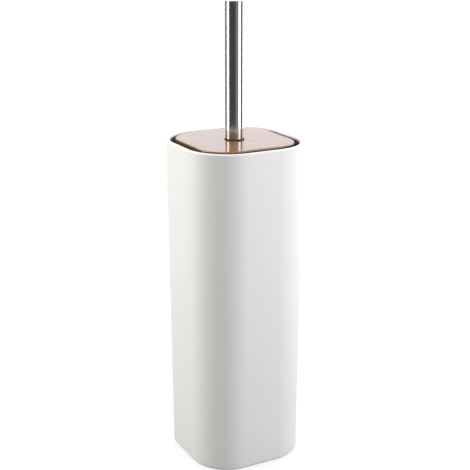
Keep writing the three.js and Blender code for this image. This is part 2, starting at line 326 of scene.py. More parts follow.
class Finish:
    """A material with one Principled shader, and short ways to add nodes to it."""

    def __init__(self, name, **constants):
        self.data = bpy.data.materials.new(name)
        self.data.use_nodes = True
        self.nodes = self.data.node_tree.nodes
        self.links = self.data.node_tree.links
        self.shader = self.nodes["Principled BSDF"]
        for key, value in constants.items():
            self.shader.inputs[key.replace("_", " ")].default_value = value

    def node(self, kind, settings=None, sockets=None, output=0):
        """A node of any type: its settings first, then the values or links of its sockets."""
        made = self.nodes.new(kind)
        for key, value in (settings or {}).items():
            setattr(made, key, value)
        pairs = enumerate(sockets) if isinstance(sockets, list) else (sockets or {}).items()
        for key, value in pairs:
            self.feed(made.inputs[key], value)
        return Socket(self, made.outputs[output])

    def feed(self, target, value):
        if isinstance(value, Socket):
            self.links.new(value.socket, target)
        else:
            target.default_value = value

    def place(self, scale=(1, 1, 1), vector=None):
        """The object's own coordinates, in metres, or another vector, stretched by scale."""
        vector = vector or self.node("ShaderNodeTexCoord", output="Object")
        return self.node("ShaderNodeMapping", None, {"Vector": vector, "Scale": scale}, "Vector")

    def axes(self):
        """The object's own coordinates apart, by axis name."""
        where = self.node("ShaderNodeTexCoord", output="Object")
        return {axis: self.node("ShaderNodeSeparateXYZ", None, {"Vector": where}, axis) for axis in "XYZ"}

    def noise(self, vector, scale, detail=3.0, roughness=0.55, distortion=0.0):
        sockets = {"Vector": vector, "Scale": scale, "Detail": detail}
        sockets |= {"Roughness": roughness, "Distortion": distortion}
        return self.node("ShaderNodeTexNoise", None, sockets)

    def blend(self, a, b, share):
        """Two colours mixed by share."""
        mixer = self.nodes.new("ShaderNodeMix")
        mixer.data_type = "RGBA"
        colours = [s for s in mixer.inputs if s.type == "RGBA"]
        self.feed(mixer.inputs[0], share)
        for target, value in zip(colours, (a, b)):
            self.feed(target, value if isinstance(value, Socket) else (*value, 1.0))
        return Socket(self, next(s for s in mixer.outputs if s.type == "RGBA"))

    def bump(self, height, depth, strength=1.0, under=None):
        """A bump of that depth in metres, on top of another bump."""
        sockets = {"Height": height, "Distance": depth, "Strength": strength}
        if under is not None:
            sockets["Normal"] = under
        return self.node("ShaderNodeBump", None, sockets, "Normal")

    def set(self, **inputs):
        for key, value in inputs.items():
            self.feed(self.shader.inputs[key.replace("_", " ")], value)
        return self.data


def tinted(rgb, factor):
    return tuple(min(1.0, c * factor) for c in rgb)


def shell_finish(rgb, inside_shade):
    """Matte white with a fine skin, faint handling marks and a slightly rubbed foot, and painted shade
    inside: the inner wall is coloured dark.
    """
    m = Finish("Matte white shell", IOR=1.46)
    place = m.place()
    skin_grain = m.noise(place, 1500.0, 2.0)
    mottling = m.noise(place, 35.0, 4.0)
    scuffs = m.noise(m.place((60.0, 60.0, 900.0)), 1.0, 3.0).stepped(0.62, 0.78)
    foot = 1 - m.axes()["Z"].stepped(2 * MM, 20 * MM)
    tone = m.blend(tinted(rgb, 0.985), tinted(rgb, 1.01), mottling)
    rubbed = (scuffs * 0.05 + foot * mottling * 0.18).clamped()
    # Painted shade: rows marked inside take the dark inside colour, standing in for the shade in the narrow
    # gap.
    inside = m.node("ShaderNodeAttribute", {"attribute_name": "inside"}, output="Fac")
    base = m.blend(m.blend(tone, tinted(rgb, 0.86), rubbed), inside_shade, inside)
    fine = m.bump(skin_grain, 0.00002, 0.55)
    broad = m.bump(mottling, 0.00005, 0.25, fine)
    return m.set(Base_Color=base, Roughness=0.44 + mottling * 0.14 + scuffs * 0.06, Normal=broad)


def cup_finish(rgb):
    """Satin moulded plastic with faint flow marks up the wall."""
    m = Finish("Satin cup plastic", IOR=1.49)
    place = m.place()
    flow = m.noise(m.place((90.0, 90.0, 9.0)), 1.0, 4.0)
    grain = m.noise(place, 1100.0, 2.0)
    drips = m.noise(m.place((160.0, 160.0, 14.0)), 1.0, 3.0).stepped(0.6, 0.75)
    base = m.blend(tinted(rgb, 0.96), rgb, flow)
    relief = m.bump(grain, 0.000015, 0.5, m.bump(flow, 0.00006, 0.3))
    return m.set(Base_Color=base, Roughness=0.34 + flow * 0.12 + drips * 0.08, Normal=relief)


def bamboo_finish(light, dark, top):
    """Laminated bamboo strips with fibres, knuckle marks, a thin lacquer, and sides made darker than the top
    by painted shade.
    """
    m = Finish("Lacquered bamboo", IOR=1.5, Specular_IOR_Level=0.12, Coat_Roughness=0.06, Coat_IOR=1.55)
    parts = m.axes()
    strip_width = 7.2 * MM
    strips_off = 40.5       # keeps every strip's number positive, with a strip's middle on the board's
    across = parts["Y"] * (1 / strip_width) + strips_off
    strip = across.floor()
    off_middle = (across.fraction() - 0.5).absolute()
    glue = off_middle.stepped(0.475, 0.497)
    strip_tone = m.node("ShaderNodeTexWhiteNoise", {"noise_dimensions": "1D"}, {"W": strip}, "Value")
    slid = m.node("ShaderNodeCombineXYZ", None, [parts["X"] + strip_tone * 0.3, parts["Y"], parts["Z"]])
    fibres = m.noise(m.place((28.0, 1900.0, 1900.0), slid), 1.0, 5.0, 0.62)
    streaks = m.noise(m.place((9.0, 240.0, 240.0), slid), 1.0, 3.0, 0.5, 0.4)
    along = ((parts["X"] + strip_tone * 0.37) * 11.0).fraction()
    knuckle = (1 - (along - 0.5).absolute().stepped(0.0, 0.035)) * 0.55
    share = (strip_tone * 0.45 + fibres * 0.5 + streaks * 0.35 - 0.22).clamped()
    wood = m.blend(dark, light, share)
    wood = m.blend(wood, tinted(dark, 0.72), knuckle)
    wood = m.blend(wood, tinted(dark, 0.5), glue * 0.55)
    # Painted shade: the board's side below the top edge is darkened, for the shade in the gap between lid and
    # rim.
    side = 1 - parts["Z"].stepped(top - 0.95 * MM, top - 0.4 * MM)
    wood = m.blend(wood, tinted(dark, 0.4), side * 0.8)
    relief = m.bump(fibres, 0.00003, 0.5, m.bump(1 - glue, 0.00003, 0.5))
    m.set(Coat_Weight=0.75 + streaks * 0.2, Roughness=0.33 + fibres * 0.18)
    return m.set(Base_Color=wood, Normal=relief)


def brushed_finish(rgb):
    """Steel brushed round the tube: fine rings, softly uneven along its length."""
    m = Finish("Brushed steel", Metallic=1.0)
    rings = m.noise(m.place((160.0, 160.0, 9000.0)), 1.0, 3.0, 0.7)
    coarse = m.noise(m.place((60.0, 60.0, 1800.0)), 1.0, 2.0)
    smudge = m.noise(m.place(), 55.0, 3.0)
    base = m.blend(tinted(rgb, 0.9), tinted(rgb, 1.06), rings)
    relief = m.bump(rings, 0.000002, 0.4, m.bump(coarse, 0.000001, 0.3))
    return m.set(Base_Color=base, Roughness=0.12 + rings * 0.06 + smudge * 0.04, Normal=relief)


def turned_finish(rgb):
    """Steel with the fine rings of turning."""
    m = Finish("Turned steel", Metallic=1.0)
    rings = m.noise(m.place((30.0, 30.0, 5200.0)), 1.0, 2.0)
    stain = m.noise(m.place(), 240.0, 3.0)
    base = m.blend(tinted(rgb, 0.82), tinted(rgb, 1.05), stain)
    relief = m.bump(rings, 0.00001, 0.6)
    return m.set(Base_Color=base, Roughness=0.3 + rings * 0.12 + stain * 0.1, Normal=relief)


def rubber_finish(name, rgb):
    """Matte rubber with a dusty, fine-pored skin."""
    m = Finish(name, IOR=1.5)
    pores = m.noise(m.place(), 2600.0, 2.0)
    dust = m.noise(m.place(), 260.0, 4.0).stepped(0.45, 0.8)
    base = m.blend(rgb, tuple(c * 0.8 + 0.08 for c in rgb), dust * 0.7 + 0.1)
    return m.set(Base_Color=base, Roughness=0.66 + dust * 0.2, Normal=m.bump(pores, 0.00003, 0.6))


def plastic_finish(rgb):
    """Satin white plastic of the stem and core, with soft mould flow."""
    m = Finish("Head plastic", IOR=1.49)
    flow = m.noise(m.place((120.0, 120.0, 20.0)), 1.0, 3.0)
    grain = m.noise(m.place(), 1400.0, 2.0)
    base = m.blend(tinted(rgb, 0.955), rgb, flow)
    return m.set(Base_Color=base, Roughness=0.3 + flow * 0.14, Normal=m.bump(grain, 0.000015, 0.5))


def nylon_finish(rgb):
    """Milky nylon that differs a little from filament to filament."""
    m = Finish("Nylon bristle", IOR=1.53)
    tint = m.node("ShaderNodeAttribute", {"attribute_name": "filament_tint"}, output="Fac")
    wear = m.noise(m.place(), 900.0, 2.0)
    base = m.blend(tinted(rgb, 0.86), tinted(rgb, 1.04), (tint * 0.8 + wear * 0.2).clamped())
    return m.set(Base_Color=base, Roughness=0.34 + tint * 0.16, Normal=m.bump(wear, 0.00001, 0.4))


class BrushSetFinishes:
    """Each finish is made once, when a piece first asks for it."""

    made = {}

    @classmethod
    def get(cls, name):
        colours = bpy.context.scene.brush_set_colours
        makers = {
            "shell": lambda: shell_finish(tuple(colours.shell), tuple(colours.inside_painted_shade)),
            "cup": lambda: cup_finish(tuple(colours.cup)),
            "bamboo": lambda: bamboo_finish(
                tuple(colours.bamboo_light), tuple(colours.bamboo_dark), high("lid_board")
            ),
            "brushed_steel": lambda: brushed_finish(tuple(colours.steel)),
            "plain_steel": lambda: turned_finish(tuple(colours.turned_steel)),
            "black_rubber": lambda: rubber_finish("Black rubber", tuple(colours.rubber)),
            "foot_rubber": lambda: rubber_finish("Foot rubber", tuple(colours.foot_rubber)),
            "head_plastic": lambda: plastic_finish(tuple(colours.head_plastic)),
            "bristles": lambda: nylon_finish(tuple(colours.nylon)),
        }
        if name not in cls.made:
            cls.made[name] = makers[name]()
        return cls.made[name]


# ---- Holder ----


def shell_at(sizes, z):
    """The shell's outer half side and corner radius at a height."""
    share = (z - low("outer_shell")) / (high("outer_shell") - low("outer_shell"))
    half = mix(sizes.base_side, sizes.rim_side, share) / 2
    return half, mix(sizes.base_corner, sizes.rim_corner, share)


def build_shell():
    s = bpy.context.scene.brush_set_sizes
    bottom, top = low("outer_shell"), high("outer_shell")
    floor = bottom + s.shell_floor

    def wall_ring(inset, z):
        half, corner = shell_at(s, z)
        return half - inset, corner - inset, z

    rings = [(0.0, 0.0, bottom)]
    for out, up in quarter(s.base_round, -90, 0):
        rings.append(wall_ring(s.base_round - out, bottom + s.base_round + up))
    courses = 12
    for i in range(1, courses):
        rings.append(wall_ring(0.0, mix(bottom + s.base_round, top - s.rim_round, i / courses)))
    for out, up in quarter(s.rim_round, 0, 90):
        rings.append(wall_ring(s.rim_round - out, top - s.rim_round + up))
    for out, up in quarter(s.rim_round, 90, 180):
        rings.append(wall_ring(s.wall - s.rim_round - out, top - s.rim_round + up))
    inner_round = s.base_round
    outside = len(rings)
    fade = 0.6 * MM         # the painted shade inside sets in over this depth, below the rim's rounding
    for i in range(courses - 1):
        rings.append(wall_ring(s.wall, mix(top - s.rim_round - fade, floor + inner_round, i / courses)))
    for out, up in quarter(inner_round, 0, -90):
        rings.append(wall_ring(s.wall + inner_round - out, floor + inner_round + up))
    rings.append((0.0, 0.0, floor))
    # Rows inside the wall are marked 1, for the painted shade inside.
    return square_solid(rings, "shell_skin", masks=[0.0] * outside + [1.0] * (len(rings) - outside))


def build_ribs():
    """Two upright ribs on each side, rooted in the wall and the floor."""
    s = bpy.context.scene.brush_set_sizes
    floor = low("outer_shell") + s.shell_floor
    top = high("inner_cup") - s.flange_thickness - SEAT_GAP
    halves = (-s.rib_thickness / 2, s.rib_thickness / 2)
    bm = bmesh.new()
    for side in range(4):
        for sideways in (-s.rib_spread / 2, s.rib_spread / 2):
            corners = []
            for z in (floor - s.shell_floor / 2, top):
                inner = shell_at(s, z)[0] - s.wall
                for x in (inner - s.rib_depth, inner + s.wall / 2):
                    corners += [Vector((x, sideways + y, z)) for y in halves]
            spin = Matrix.Rotation(math.radians(90 * side), 3, "Z")
            v = [bm.verts.new(spin @ c) for c in corners]
            for face in ((0, 1, 3, 2), (4, 6, 7, 5), (0, 4, 5, 1), (2, 3, 7, 6), (0, 2, 6, 4), (1, 5, 7, 3)):
                bm.faces.new([v[i] for i in face])
    bmesh.ops.recalc_face_normals(bm, faces=bm.faces)
    bmesh.ops.bevel(bm, geom=bm.edges[:], offset=0.35 * MM, segments=3, affect="EDGES", profile=0.5)
    return finish_mesh(bm, "shell_ribs")


class BRUSHSET_OT_holder(bpy.types.Operator):
    """Build the matte white holder and its inner ribs"""

    bl_idname = "brushset.holder"
    bl_label = "Holder"

    def execute(self, context):
        white = BrushSetFinishes.get("shell")
        put(build_shell(), "holder", "shell", white, "outer_shell")
        put(build_ribs(), "holder", "shell", white)
        return {"FINISHED"}


class BRUSHSET_OT_feet(bpy.types.Operator):
    """Build the four rubber feet, each with a grip groove"""

    bl_idname = "brushset.feet"
    bl_label = "Feet"

    def execute(self, context):
        rubber = BrushSetFinishes.get("foot_rubber")
        for n in range(1, 5):
            node = f"foot_pad_{n}"
            lowest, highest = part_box(node)
            centre = (lowest + highest) / 2
            radius = (highest.x - lowest.x) / 2
            groove = 0.25 * MM
            outline = [
                (0.0, 0.0), (radius * 0.48, 0.0), (radius * 0.52, groove), (radius * 0.62, groove),
                (radius * 0.66, 0.0), (radius, 0.0), (radius, highest.z), (0.0, highest.z),
            ]
            pad = turned_solid(rounded(outline, {5: 0.4 * MM}), f"rubber_foot_{n}", columns=64)
            pad.data.transform(Matrix.Translation((centre.x, centre.y, 0.0)))
            put(pad, "holder", "foot_rubber", rubber, node)
        return {"FINISHED"}


# ---- Cup ----


def build_cup():
    s = bpy.context.scene.brush_set_sizes
    bottom, top = low("inner_cup"), high("inner_cup")
    under = top - s.flange_thickness
    flange = reach("inner_cup")
    flange_corner = flange - (shell_at(s, under)[0] - shell_at(s, under)[1])
    seat_width = 2.5 * MM
    mouth = reach("lid_board") - seat_width
    clearance = 2.75 * MM
    foot = shell_at(s, bottom)[0] - s.wall - s.rib_depth - clearance - s.cup_wall
    floor = bottom + 1.8 * MM
    foot_corner = s.cup_corner - (mouth - foot)
    bend = 3.2 * MM
    lip = 0.5 * MM
    outer_foot, outer_corner = foot + s.cup_wall, foot_corner + s.cup_wall

    rings = [(0.0, 0.0, bottom)]
    for out, up in quarter(bend, -90, 0):
        rings.append((outer_foot - bend + out, outer_corner - bend + out, bottom + bend + up))
    rings.append((mouth + s.cup_wall, s.cup_corner + s.cup_wall, under))
    for out, up in quarter(lip, -90, 0, 4):
        rings.append((flange - lip + out, flange_corner - lip + out, under + lip + up))
    for out, up in quarter(lip, 0, 90, 4):
        rings.append((flange - lip + out, flange_corner - lip + out, top - lip + up))
    for out, up in quarter(lip, 90, 180, 4):
        rings.append((mouth + lip + out, s.cup_corner + lip + out, top - lip + up))
    inner_bend = s.cup_wall
    for out, up in quarter(inner_bend, 0, -90):
        rings.append((foot - inner_bend + out, foot_corner - inner_bend + out, floor + inner_bend + up))
    rings.append((0.0, 0.0, floor))
    return square_solid(rings, "cup_liner")


class BRUSHSET_OT_cup(bpy.types.Operator):
    """Build the lift-out inner cup"""

    bl_idname = "brushset.cup"
    bl_label = "Inner cup"

    def execute(self, context):
        put(build_cup(), "cup", "cup", BrushSetFinishes.get("cup"), "inner_cup")
        return {"FINISHED"}


# ---- Lid ----


def build_lid():
    s = bpy.context.scene.brush_set_sizes
    top, step_bottom = high("lid_board"), low("lid_board")
    board_bottom = top - s.lid_thickness
    half = reach("lid_board")
    step_play = 1.6 * MM
    seat_width = 2.5 * MM
    step = half - seat_width - step_play
    step_corner = s.cup_corner - step_play
    under_edge = 0.6 * MM
    edge = s.lid_edge
    rings = [(s.lid_bore, s.lid_bore, step_bottom)]
    for out, up in quarter(under_edge, -90, 0, 4):
        inset = under_edge - out
        rings.append((step - inset, step_corner - inset, step_bottom + under_edge + up))
    rings.append((step, step_corner, board_bottom))
    for out, up in quarter(under_edge, -90, 0, 4):
        inset = under_edge - out
        rings.append((half - inset, s.lid_corner - inset, board_bottom + under_edge + up))
    for out, up in quarter(edge, 0, 90, 8):
        inset = edge - out
        rings.append((half - inset, s.lid_corner - inset, top - edge + up))
    rings.append((s.lid_bore, s.lid_bore, top))
    return square_solid(rings, "bamboo_lid", closed=True)


class BRUSHSET_OT_lid(bpy.types.Operator):
    """Build the bamboo lid board"""

    bl_idname = "brushset.lid"
    bl_label = "Lid"

    def execute(self, context):
        put(build_lid(), "brush", "bamboo", BrushSetFinishes.get("bamboo"), "lid_board")
        return {"FINISHED"}


# ---- Handle ----


def ring_solid(node, bore, edge, name, columns=ROUND_COLUMNS):
    """A turned ring with all four edges rounded, in the place of a CAD node."""
    bottom, top, radius = low(node), high(node), reach(node)
    corners = [(bore, bottom), (radius, bottom), (radius, top), (bore, top)]
    outline = rounded(corners, dict.fromkeys(range(4), edge), 4)
    return turned_solid(outline, name, closed=True, columns=columns)


def build_cap():
    top, bottom, radius = high("handle_cap"), low("handle_cap"), reach("handle_cap")
    s = bpy.context.scene.brush_set_sizes
    under = top - 1.2 * MM
    spigot = radius - s.handle_wall - 0.3 * MM
    outline = [(0.0, bottom), (spigot, bottom), (spigot, under), (radius, under), (radius, top), (0.0, top)]
    return turned_solid(rounded(outline, {1: 0.3 * MM, 3: 0.08 * MM, 4: 0.45 * MM}), "handle_end_cap")


class BRUSHSET_OT_handle(bpy.types.Operator):
    """Build the brushed steel handle, its end cap and the ring at its foot"""

    bl_idname = "brushset.handle"
    bl_label = "Handle"

    def execute(self, context):
        s = context.scene.brush_set_sizes
        steel = BrushSetFinishes.get("brushed_steel")
        bore = reach("handle_tube") - s.handle_wall
        tube = ring_solid("handle_tube", bore, 0.12 * MM, "steel_handle", columns=128)
        put(tube, "brush", "brushed_steel", steel, "handle_tube")
        put(build_cap(), "brush", "brushed_steel", steel, "handle_cap")
        washer = ring_solid("handle_washer", s.lid_bore, 0.25 * MM, "foot_ring")
        put(washer, "brush", "black_rubber", BrushSetFinishes.get("black_rubber"), "handle_washer")
        return {"FINISHED"}


# ---- Stem and head ----


def build_stem():
    top, bottom, flange = high("brush_stem"), low("brush_stem"), reach("brush_stem")
    stem, spigot, spigot_length = 6.5 * MM, 4.5 * MM, 12 * MM
    bore, grip = 4.3 * MM, 16 * MM
    flange_thickness = 3 * MM
    seat = bottom + spigot_length
    under = top - flange_thickness
    outline = [
        (0.0, bottom), (spigot, bottom), (spigot, seat), (stem, seat), (stem, under - flange_thickness),
        (flange, under), (flange, top), (bore, top), (bore, top - grip), (0.0, top - grip),
    ]
    radii = {1: 0.6 * MM, 3: 0.4 * MM, 4: 2.5 * MM, 5: 0.6 * MM, 6: 0.5 * MM}
    return turned_solid(rounded(outline, radii), "stem_rod")


def build_core():
    bottom, top, radius = low("head_core"), high("head_core"), reach("head_core")
    neck_length, neck, stem = 16 * MM, 9.5 * MM, 6.5 * MM
    socket, socket_depth = 4.8 * MM, 13 * MM
    shoulder = top - neck_length
    rise = (radius - neck) * 1.2
    outline = [
        (0.0, bottom), (radius, bottom), (radius, shoulder), (neck, shoulder + rise), (stem, top),
        (socket, top), (socket, top - socket_depth), (0.0, top - socket_depth),
    ]
    radii = {1: 3 * MM, 2: 2 * MM, 3: 2.5 * MM, 4: 0.3 * MM}
    return turned_solid(rounded(outline, radii), "head_body")


class BRUSHSET_OT_head(bpy.types.Operator):
    """Build the stem, the washer under the lid and the head's core"""

    bl_idname = "brushset.head"
    bl_label = "Stem and head"

    def execute(self, context):
        s = context.scene.brush_set_sizes
        plastic = BrushSetFinishes.get("head_plastic")
        put(build_stem(), "brush", "head_plastic", plastic, "brush_stem")
        put(build_core(), "brush", "head_plastic", plastic, "head_core")
        washer = ring_solid("stem_washer", s.lid_bore, 0.25 * MM, "under_lid_ring")
        put(washer, "brush", "black_rubber", BrushSetFinishes.get("black_rubber"), "stem_washer")
        return {"FINISHED"}


class BRUSHSET_OT_fasteners(bpy.types.Operator):
    """Finish the stud and the insert that clamp the lid"""

    bl_idname = "brushset.fasteners"
    bl_label = "Fasteners"

    def execute(self, context):
        steel = BrushSetFinishes.get("plain_steel")
        for node in ("clamp_stud", "handle_insert"):
            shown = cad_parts[node]
            shown.data.materials.clear()
            shown.data.materials.append(steel)
        return {"FINISHED"}


# ---- Bristles ----

TUFT_ROOT = 1.7 * MM    # radius of a tuft where it leaves the core
TUFT_TIP = 3.0 * MM     # and at its tip
WANDER = 0.06           # the most that a filament's aim strays from its tuft's lean, along each axis
END_LEAN = 0.22         # how far the outer tufts of the end lean out, for 1 down


class Growth:
    """A Geometry Nodes tree with named inputs, built by short calls."""

    def __init__(self, name):
        self.tree = bpy.data.node_groups.new(name, "GeometryNodeTree")
        self.sockets = {}
        self.add_input("Geometry", "NodeSocketGeometry")
        self.tree.interface.new_socket("Geometry", in_out="OUTPUT", socket_type="NodeSocketGeometry")
        self.inlet = self.tree.nodes.new("NodeGroupInput")
        self.outlet = self.tree.nodes.new("NodeGroupOutput")

    def add_input(self, name, kind):
        self.sockets[name] = self.tree.interface.new_socket(name, in_out="INPUT", socket_type=kind)

    def node(self, kind, settings=None, sockets=None):
        made = self.tree.nodes.new(kind)
        for key, value in (settings or {}).items():
            setattr(made, key, value)
        for key, value in (sockets or {}).items():
            if isinstance(value, bpy.types.NodeSocket):
                self.tree.links.new(value, made.inputs[key])
            else:
                made.inputs[key].default_value = value
        return made

    def given(self, name):
        return self.inlet.outputs[name]

    def attribute(self, name, kind="FLOAT"):
        return self.node("GeometryNodeInputNamedAttribute", {"data_type": kind}, {"Name": name}).outputs[0]

    def math(self, kind, a, b=0.0):
        return self.node("ShaderNodeMath", {"operation": kind}, {0: a, 1: b}).outputs[0]

    def vector(self, kind, a, b=(0, 0, 0)):
        return self.node("ShaderNodeVectorMath", {"operation": kind}, {0: a, 1: b}).outputs[0]

    def scaled(self, vector, factor):
        sockets = {0: vector, "Scale": factor}
        return self.node("ShaderNodeVectorMath", {"operation": "SCALE"}, sockets).outputs[0]

    def random(self, seed_offset, smallest, largest, kind="FLOAT"):
        made = self.node("FunctionNodeRandomValue", {"data_type": kind})
        socket_type = "VALUE" if kind == "FLOAT" else "VECTOR"
        ends = [x for x in made.inputs if x.type == socket_type]
        ends[0].default_value, ends[1].default_value = smallest, largest
        self.tree.links.new(self.math("ADD", self.given("Seed"), float(seed_offset)), made.inputs["Seed"])
        return next(x for x in made.outputs if x.type == socket_type)


def filament_tree():
    """Grows filaments from tuft roots: each point carries the way its tuft leans and how long it is."""
    g = Growth("Bristle filaments")
    for name, kind in (
        ("Filaments", "NodeSocketInt"), ("Root radius", "NodeSocketFloat"), ("Splay", "NodeSocketFloat"),
        ("Filament radius", "NodeSocketFloat"), ("Seed", "NodeSocketInt"), ("Material", "NodeSocketMaterial"),
    ):
        g.add_input(name, kind)

    lean = g.attribute("lean", "FLOAT_VECTOR")
    tall = g.attribute("tall")
    sockets = {"Geometry": g.given("Geometry"), "Amount": g.given("Filaments")}
    copies = g.node("GeometryNodeDuplicateElements", {"domain": "POINT"}, sockets).outputs["Geometry"]

    # A place inside the tuft's round root, evenly spread.
    angle = g.random(11, 0.0, math.tau)
    share = g.math("POWER", g.random(23, 0.0, 1.0), 0.5)
    not_along_any_lean = (0.31, 0.17, 0.94)
    side = g.vector("NORMALIZE", g.vector("CROSS_PRODUCT", lean, not_along_any_lean))
    other = g.vector("CROSS_PRODUCT", lean, side)
    reach_x = g.math("MULTIPLY", g.math("COSINE", angle), share)
    reach_y = g.math("MULTIPLY", g.math("SINE", angle), share)
    flat = g.vector("ADD", g.scaled(side, reach_x), g.scaled(other, reach_y))
    offset = g.scaled(flat, g.given("Root radius"))
    placed = g.node("GeometryNodeSetPosition", None, {"Geometry": copies, "Offset": offset})

    # The filament leans outwards from the tuft's middle, by more towards its rim, and wanders a little.
    leaning = g.vector("ADD", lean, g.scaled(flat, g.given("Splay")))
    aim = g.vector("ADD", leaning, g.random(37, (-WANDER,) * 3, (WANDER,) * 3, "FLOAT_VECTOR"))
    turn = g.node("FunctionNodeAlignRotationToVector", {"axis": "Z"}, {"Vector": aim}).outputs[0]
    spin = {"Axis": (0, 0, 1), "Angle": g.random(53, 0.0, math.tau)}
    about = g.node("FunctionNodeAxisAngleToRotation", None, spin).outputs[0]
    twist = g.node("FunctionNodeRotateRotation", {"rotation_space": "LOCAL"}, {0: turn, 1: about})
    height = g.math("MULTIPLY", tall, g.random(71, 0.965, 1.0))
    size = g.node("ShaderNodeCombineXYZ", None, {0: 1.0, 1: 1.0, 2: height}).outputs[0]

    # One slightly bent filament, a metre tall until each copy is scaled to its own length.
    bend = {"Resolution": 3, "Start": (0, 0, 0), "Middle": (0.0009, 0, 0.55), "End": (0, 0, 1)}
    path = g.node("GeometryNodeCurveQuadraticBezier", None, bend).outputs[0]
    four_sided = {"Resolution": 4, "Radius": g.given("Filament radius")}
    section = g.node("GeometryNodeCurvePrimitiveCircle", None, four_sided)
    sockets = {"Curve": path, "Profile Curve": section.outputs[0], "Fill Caps": True}
    strand = g.node("GeometryNodeCurveToMesh", None, sockets).outputs[0]
    sockets = {"Points": placed.outputs[0], "Instance": strand, "Rotation": twist.outputs[0], "Scale": size}
    grown = g.node("GeometryNodeInstanceOnPoints", None, sockets).outputs[0]
    settings = {"data_type": "FLOAT", "domain": "INSTANCE"}
    sockets = {"Geometry": grown, "Name": "filament_tint", "Value": g.random(97, 0.0, 1.0)}
    tinted_copies = g.node("GeometryNodeStoreNamedAttribute", settings, sockets).outputs[0]
    real = g.node("GeometryNodeRealizeInstances", None, {"Geometry": tinted_copies}).outputs[0]
    dressed = g.node("GeometryNodeSetMaterial", None, {"Geometry": real, "Material": g.given("Material")})
    g.tree.links.new(dressed.outputs[0], g.outlet.inputs[0])
    return g


def grow(growth, name, roots, **inputs):
    """A plain mesh of filaments grown from roots, a list of (place, lean, length)."""
    mesh = bpy.data.meshes.new(name + "_roots")
    mesh.from_pydata([place for place, _, _ in roots], [], [])
    leans = mesh.attributes.new("lean", "FLOAT_VECTOR", "POINT")
    leans.data.foreach_set("vector", [c for _, lean, _ in roots for c in lean])
    lengths = mesh.attributes.new("tall", "FLOAT", "POINT")
    lengths.data.foreach_set("value", [tall for _, _, tall in roots])
    seedling = bpy.data.objects.new(name + "_roots", mesh)
    bpy.context.scene.collection.objects.link(seedling)
    modifier = seedling.modifiers.new("Filaments", "NODES")
    modifier.node_group = growth.tree
    for key, value in inputs.items():
        modifier[growth.sockets[key.replace("_", " ")].identifier] = value
    graph = bpy.context.evaluated_depsgraph_get()
    graph.update()
    grown = bpy.data.meshes.new_from_object(seedling.evaluated_get(graph), depsgraph=graph)
    grown.name = name
    bpy.data.objects.remove(seedling)
    made = bpy.data.objects.new(name, grown)
    bpy.context.scene.collection.objects.link(made)
    return made


def row_roots(node, tufts, lean_degrees, stagger):
    """Roots of one row: evenly round the core, fanned up or down, all ending at the same reach."""
    lowest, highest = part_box(node)
    start = reach("head_core") - 0.3 * MM
    tip = reach("tuft_row_1") - 0.6 * MM
    tilt = math.radians(lean_degrees)
    long = (tip - start) / math.cos(tilt)
    # The box of a fanned row reaches further the way it leans, so its roots sit off the box's middle.
    off_end = (tip - start) * math.tan(abs(tilt)) + TUFT_TIP * math.cos(tilt)
    z = lowest.z + off_end if lean_degrees < 0 else highest.z - off_end
    roots = []
    for n in range(tufts):
        a = math.tau * (n + stagger) / tufts
        out = Vector((math.cos(a), math.sin(a), 0.0))
        lean = out * math.cos(tilt) + Vector((0, 0, math.sin(tilt)))
        roots.append((out * start + Vector((0, 0, z)), lean, long))
    return roots


def end_roots(bunches):
    """Roots of the bunch under the core: one tuft in the middle and a ring round it."""
    lowest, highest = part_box("tuft_end")
    start = low("head_core") + 0.2 * MM
    long = start - lowest.z - 0.1 * MM
    ring = (highest.x - lowest.x) / 2 - TUFT_ROOT
    roots = [(Vector((0, 0, start)), Vector((0, 0, -1)), long)]
    for n in range(bunches):
        a = math.tau * n / bunches
        out = Vector((math.cos(a), math.sin(a), 0.0))
        lean = (out * END_LEAN + Vector((0, 0, -1))).normalized()
        roots.append((out * ring + Vector((0, 0, start)), lean, long))
    return roots


class BRUSHSET_OT_bristles(bpy.types.Operator):
    """Grow the rows of nylon filaments and the bunch on the end"""

    bl_idname = "brushset.bristles"
    bl_label = "Bristles"

    rows: IntProperty(name="Rows", description="Rows round the core", default=6, min=2)
    tufts: IntProperty(name="Tufts", description="Tufts in a row", default=14, min=3)
    filaments: IntProperty(name="Filaments", description="Filaments in a tuft", default=70, min=1)
    fan: FloatProperty(name="Fan", description="Lean of the outermost rows in degrees", default=18.0)

    def execute(self, context):
        s = context.scene.brush_set_sizes
        nylon = BrushSetFinishes.get("bristles")
        growth = filament_tree()
        common = {"Filaments": self.filaments, "Root_radius": TUFT_ROOT, "Filament_radius": s.filament}
        common["Material"] = nylon
        for row in range(self.rows):
            node = f"tuft_row_{row + 1}"
            lean = mix(-self.fan, self.fan, row / (self.rows - 1))
            roots = row_roots(node, self.tufts, lean, (row % 2) / 2)
            piece = grow(growth, f"bristle_row_{row + 1}", roots, Splay=0.13, Seed=row, **common)
            put(piece, "brush", "bristles", nylon, node)
        piece = grow(growth, "bristle_end", end_roots(8), Splay=0.16, Seed=50, **common)
        put(piece, "brush", "bristles", nylon, "tuft_end")
        bpy.data.node_groups.remove(growth.tree)
        return {"FINISHED"}


# ---- Stage ----


def facing(place, target):
    return (Vector(target) - Vector(place)).to_track_quat("-Z", "Y")


def soft_light(name, place, target, width, height, power, tint):
    data = bpy.data.lights.new(name, "AREA")
    data.shape = "RECTANGLE"
    data.size, data.size_y = width, height
    data.energy = power
    data.color = tint
    made = bpy.data.objects.new(name, data)
    made.location = place
    made.rotation_mode = "QUATERNION"
    made.rotation_quaternion = facing(place, target)
    made.visible_camera = False
    bpy.context.scene.collection.objects.link(made)


